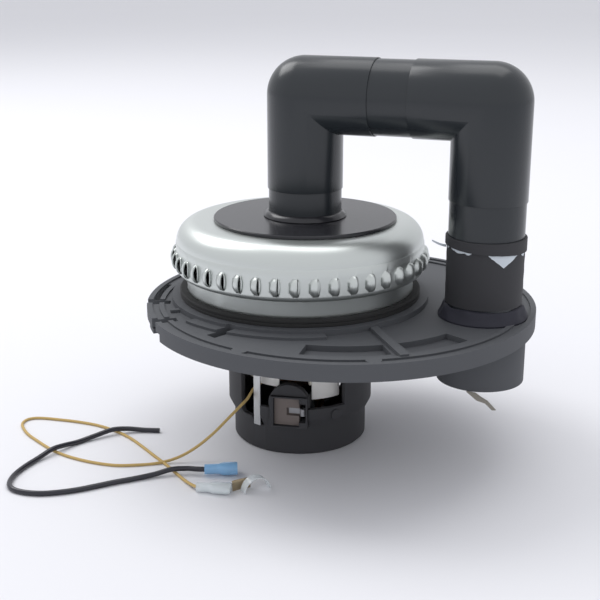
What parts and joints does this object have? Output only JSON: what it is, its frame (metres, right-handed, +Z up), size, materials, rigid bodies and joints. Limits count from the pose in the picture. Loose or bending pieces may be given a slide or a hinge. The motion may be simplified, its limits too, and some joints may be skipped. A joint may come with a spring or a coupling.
{
  "type": "suction blower motor",
  "caption": "Brushed suction motor with a louvred fan shell, held through a round moulded plate, with a square-cornered pipe arch from fan inlet to port and two loose leads.",
  "frame": {"origin": "on the motor axis, in the plane of the motor's foot", "axes": "+Z up along the motor axis; +X from the motor axis towards the port"},
  "size_m": [0.288, 0.2381, 0.2146],
  "materials": {
    "housing_plastic": "moulded black plastic, satin",
    "stack_steel": "stacked laminations, dull",
    "coil_tape": "varnished binding tape",
    "insulation_film": "crinkled pale film",
    "bright_steel": "plated",
    "carbon": "pressed carbon, brown-grey",
    "spring_steel": "blued strip",
    "bearing_steel": "ground",
    "cast_alloy": "cast, dull",
    "copper": "worn copper",
    "phenolic": "moulded phenolic",
    "enamel_wire": "varnished copper wire",
    "fan_alloy": "pressed sheet",
    "plate_plastic": "moulded charcoal plastic, semi-gloss",
    "rubber": "dull black",
    "shell_metal": "satin pressed metal",
    "gloss_black": "glossy black",
    "sealant": "glossy black adhesive",
    "pipe_plastic": "smooth black pipe",
    "tape": "wound black tape",
    "pale_film": "torn pale blue-grey film",
    "mastic": "lumpy black mastic",
    "strip_scrap": "torn strip of seal",
    "gold_sleeve": "tan-gold lead insulation",
    "lead_black": "black lead insulation",
    "blue_nylon": "translucent blue nylon",
    "clear_nylon": "clear nylon",
    "tab_brass": "tarnished brass"
  },
  "bodies": {
    "stator": {"motor_housing": "housing_plastic", "field_core": "stack_steel", "field_coils": "coil_tape", "coil_insulation": "insulation_film", "field_screws": "bright_steel", "brush_holders": "housing_plastic", "front_brush_spring": "spring_steel", "rear_brush_spring": "spring_steel", "earth_strip": "bright_steel", "lower_bearing_race": "bearing_steel", "upper_bearing_race": "bearing_steel", "fan_bracket": "cast_alloy", "mounting_plate": "plate_plastic", "rubber_ring": "rubber", "fan_shell": "shell_metal", "inlet_disc": "gloss_black", "pipe_foot_bead": "sealant", "inlet_leg": "pipe_plastic", "inlet_elbow": "pipe_plastic", "cross_pipe": "pipe_plastic", "port_elbow": "pipe_plastic", "port_leg": "pipe_plastic", "port_socket": "plate_plastic", "black_tape": "tape", "torn_film": "pale_film", "sealing_mastic": "mastic", "seal_strip": "strip_scrap", "gold_lead": "gold_sleeve", "black_lead": "lead_black", "blue_sleeve": "blue_nylon", "clear_sleeve": "clear_nylon", "brass_tab": "tab_brass", "clear_clip": "clear_nylon"},
    "rotor": {"shaft": "bearing_steel", "lower_bearing_hub": "bearing_steel", "upper_bearing_hub": "bearing_steel", "commutator": "copper", "commutator_hub": "phenolic", "armature_core": "stack_steel", "armature_windings": "enamel_wire", "fan_spacer": "bright_steel", "fan_back_plate": "fan_alloy", "fan_blades": "fan_alloy", "fan_front_plate": "fan_alloy", "fan_washer": "bright_steel", "fan_nut": "bright_steel"},
    "front_brush": {"front_brush": "carbon"},
    "rear_brush": {"rear_brush": "carbon"}
  },
  "joints": [
    {"name": "rotor_spin", "type": "hinge", "parent": "stator", "child": "rotor", "pos_m": [0, 0, 0.06], "axis": [0, 0, 1], "continuous": true},
    {"name": "front_brush_slide", "type": "slide", "parent": "stator", "child": "front_brush", "axis": [0.1564, -0.9877, 0], "range_m": [0, 0.006], "stiffness_N_per_m": 150, "springref_m": -0.02, "deforming": ["front_brush_spring"]},
    {"name": "rear_brush_slide", "type": "slide", "parent": "stator", "child": "rear_brush", "axis": [-0.1564, 0.9877, 0], "range_m": [0, 0.006], "stiffness_N_per_m": 150, "springref_m": -0.02, "deforming": ["rear_brush_spring"]}
  ]
}
